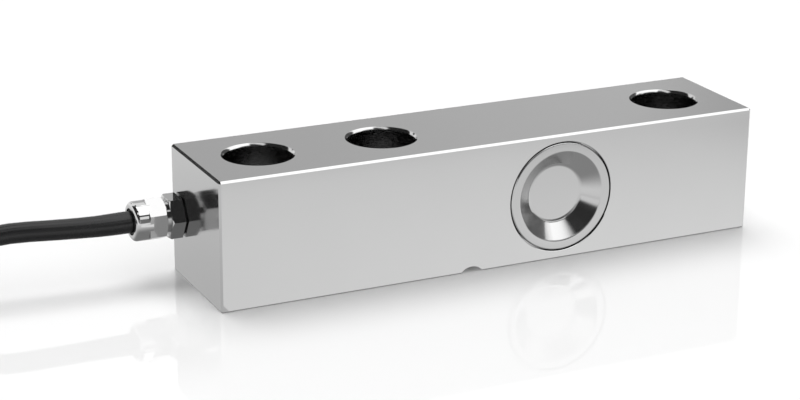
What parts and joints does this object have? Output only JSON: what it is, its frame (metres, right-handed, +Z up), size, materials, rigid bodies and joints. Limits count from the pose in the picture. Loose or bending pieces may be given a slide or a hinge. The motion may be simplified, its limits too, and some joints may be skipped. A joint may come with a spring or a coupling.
{
  "type": "shear beam load cell",
  "caption": "Plated steel shear beam load cell: a square bar with mounting holes, a load hole, dished covers over its gauge pockets and a cable from a gland in its end.",
  "frame": {"origin": "on the underside, midway between the mounting holes", "axes": "+X along the beam to the load end, +Y to the rear side, where the cable gland is nearer, +Z up"},
  "size_m": [0.4216, 0.0542, 0.0381],
  "materials": {
    "beam_plating": "bright nickel plating over a fine ground surface",
    "cover_steel": "turned stainless steel, polished",
    "gland_plating": "bright nickel plated brass",
    "seal_rubber": "black moulded rubber",
    "cable_jacket": "black extruded jacket, satin",
    "tie_nylon": "black moulded nylon",
    "red_insulation": "coloured wire insulation",
    "black_insulation": "coloured wire insulation",
    "green_insulation": "coloured wire insulation",
    "white_insulation": "coloured wire insulation",
    "shield_sleeving": "sleeving over the drain wire",
    "tinned_copper": "tinned copper wire",
    "gauge_film": "amber film with etched foil",
    "terminal_laminate": "glass-epoxy strip with solder pads",
    "board_laminate": "glass-epoxy circuit board",
    "resistor_body": "chip resistor"
  },
  "bodies": {
    "root": {"beam_body": "beam_plating", "compensation_board": "board_laminate", "gland_gasket": "seal_rubber", "gland_body": "gland_plating", "gland_seal": "seal_rubber", "gland_nut": "gland_plating", "cable_lead": "cable_jacket", "cable_hank": "cable_jacket", "cable_tail": "cable_jacket", "hank_tie_front": "tie_nylon", "hank_tie_rear": "tie_nylon", "end_lead_tips": "tinned_copper", "front_cover": "cover_steel", "front_strain_gauge": "gauge_film", "front_terminal_strip": "terminal_laminate", "front_gauge_leads": "tinned_copper", "rear_cover": "cover_steel", "rear_strain_gauge": "gauge_film", "rear_terminal_strip": "terminal_laminate", "rear_gauge_leads": "tinned_copper", "zero_balance_resistor": "resistor_body", "zero_drift_resistor": "resistor_body", "span_set_resistor": "resistor_body", "span_drift_resistor": "resistor_body", "board_wire_1": "white_insulation", "link_wire_1": "white_insulation", "core_red": "red_insulation", "board_wire_2": "white_insulation", "link_wire_2": "white_insulation", "core_black": "black_insulation", "board_wire_3": "white_insulation", "link_wire_3": "white_insulation", "core_green": "green_insulation", "board_wire_4": "white_insulation", "link_wire_4": "white_insulation", "core_white": "white_insulation", "end_lead_red": "red_insulation", "end_lead_black": "black_insulation", "end_lead_shield": "shield_sleeving", "end_lead_green": "green_insulation", "end_lead_white": "white_insulation"}
  },
  "joints": []
}
